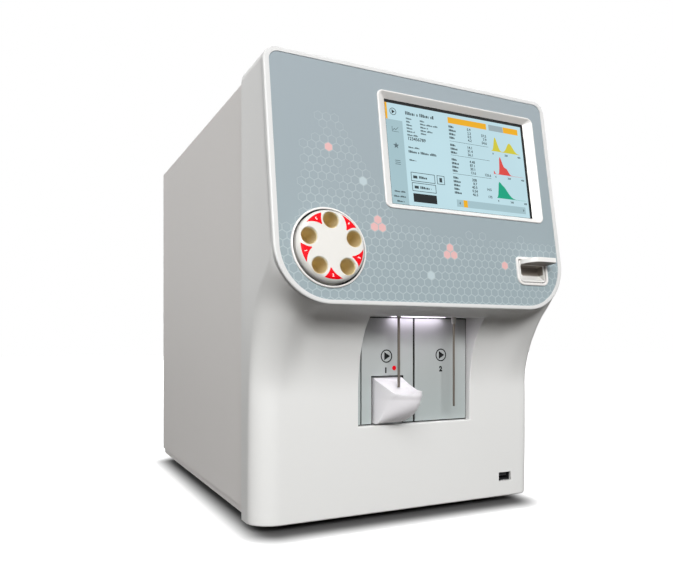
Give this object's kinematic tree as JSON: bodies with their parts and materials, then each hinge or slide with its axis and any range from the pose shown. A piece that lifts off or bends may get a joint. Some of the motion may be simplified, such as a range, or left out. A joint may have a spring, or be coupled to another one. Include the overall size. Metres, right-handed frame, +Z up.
{
  "type": "hematology analyzer",
  "caption": "Benchtop blood cell analyser: tilted touchscreen head over a lit sampling bay with needles and drip cup, tube mixer wheel, adapter drawer and sheet steel cover.",
  "frame": {"origin": "middle of the footprint at the bench, the plane of the feet", "axes": "+Z up, -Y towards the user in front of the screen, +X to the right as the user sees it, from the mixer wheel to the drawer"},
  "size_m": [0.29, 0.4494, 0.3934],
  "materials": {
    "shell_white": "satin",
    "cover_grey": "fine textured powder coat",
    "overlay_print": "satin printed film",
    "trim_white": "satin",
    "wheel_white": "satin",
    "cup_white": "smooth",
    "plate_paint": "satin",
    "steel": "polished",
    "black_plastic": "matte",
    "display_glass": "glossy",
    "lamp_lens": "frosted",
    "zinc_sheet": "zinc plated",
    "rubber": "matte",
    "board_green": "satin",
    "module_aluminium": "sheet"
  },
  "bodies": {
    "analyser": {"panel_overlay": "overlay_print", "screen_surround": "trim_white", "display_glass": "display_glass", "display_module": "black_plastic", "wheel_ring": "trim_white", "mixer_bracket": "zinc_sheet", "mixer_motor": "black_plastic", "drawer_frame": "trim_white", "front_shell": "shell_white", "bay_back_plate": "zinc_sheet", "start_switch_left": "black_plastic", "start_switch_right": "black_plastic", "drip_cup": "cup_white", "lift_bracket": "zinc_sheet", "sample_wash_head": "wheel_white", "sample_guide_rod": "steel", "sample_lift_motor": "black_plastic", "dilution_wash_head": "wheel_white", "dilution_guide_rod": "steel", "dilution_lift_motor": "black_plastic", "bay_light": "lamp_lens", "front_socket": "black_plastic", "base_pan": "cover_grey", "sheet_cover": "cover_grey", "rear_panel": "cover_grey", "fan_housing": "black_plastic", "mains_inlet": "black_plastic", "switch_housing": "black_plastic", "reagent_coupling_1": "trim_white", "reagent_coupling_2": "trim_white", "reagent_coupling_3": "trim_white", "reagent_coupling_4": "trim_white", "sensor_socket_1": "steel", "sensor_socket_2": "steel", "data_socket_1": "steel", "data_socket_2": "steel", "data_socket_3": "steel", "foot_front_left": "rubber", "foot_front_right": "rubber", "foot_rear_left": "rubber", "foot_rear_right": "rubber", "power_supply": "module_aluminium", "pump_unit": "black_plastic", "measuring_unit": "module_aluminium", "main_board": "board_green"},
    "mixer": {"mixer_wheel": "wheel_white", "mixer_shaft": "steel"},
    "adapter_drawer_body": {"adapter_drawer": "trim_white"},
    "start_key_left": {"start_plate_left": "plate_paint"},
    "start_key_right": {"start_plate_right": "plate_paint"},
    "sample_lift": {"sample_needle": "steel", "sample_carriage": "steel"},
    "dilution_lift": {"dilution_needle": "steel", "dilution_carriage": "steel"},
    "rocker": {"power_rocker": "black_plastic"},
    "rotor": {"fan_rotor": "black_plastic"}
  },
  "joints": [
    {"name": "mixer_spin", "type": "hinge", "parent": "analyser", "child": "mixer", "pos_m": [-0.0985, -0.21008, 0.2333], "axis": [0, -0.9883, 0.1526], "continuous": true},
    {"name": "drawer_slide", "type": "slide", "parent": "analyser", "child": "adapter_drawer_body", "axis": [0, -0.9883, 0.1526], "range_m": [0, 0.038]},
    {"name": "start_left_press", "type": "slide", "parent": "analyser", "child": "start_key_left", "axis": [0, 1, 0], "range_m": [0, 0.002], "stiffness_N_per_m": 900, "springref_m": -0.001},
    {"name": "start_right_press", "type": "slide", "parent": "analyser", "child": "start_key_right", "axis": [0, 1, 0], "range_m": [0, 0.002], "stiffness_N_per_m": 900, "springref_m": -0.001},
    {"name": "sample_needle_lift", "type": "slide", "parent": "analyser", "child": "sample_lift", "axis": [0, 0, 1], "range_m": [0, 0.056]},
    {"name": "dilution_needle_lift", "type": "slide", "parent": "analyser", "child": "dilution_lift", "axis": [0, 0, 1], "range_m": [0, 0.07]},
    {"name": "power_rocker_tilt", "type": "hinge", "parent": "analyser", "child": "rocker", "pos_m": [0.095, 0.20894, 0.096], "axis": [1, 0, 0], "range_deg": [-16, 0]},
    {"name": "fan_spin", "type": "hinge", "parent": "analyser", "child": "rotor", "pos_m": [-0.07, 0.19605, 0.29], "axis": [0, 1, 0], "continuous": true}
  ]
}
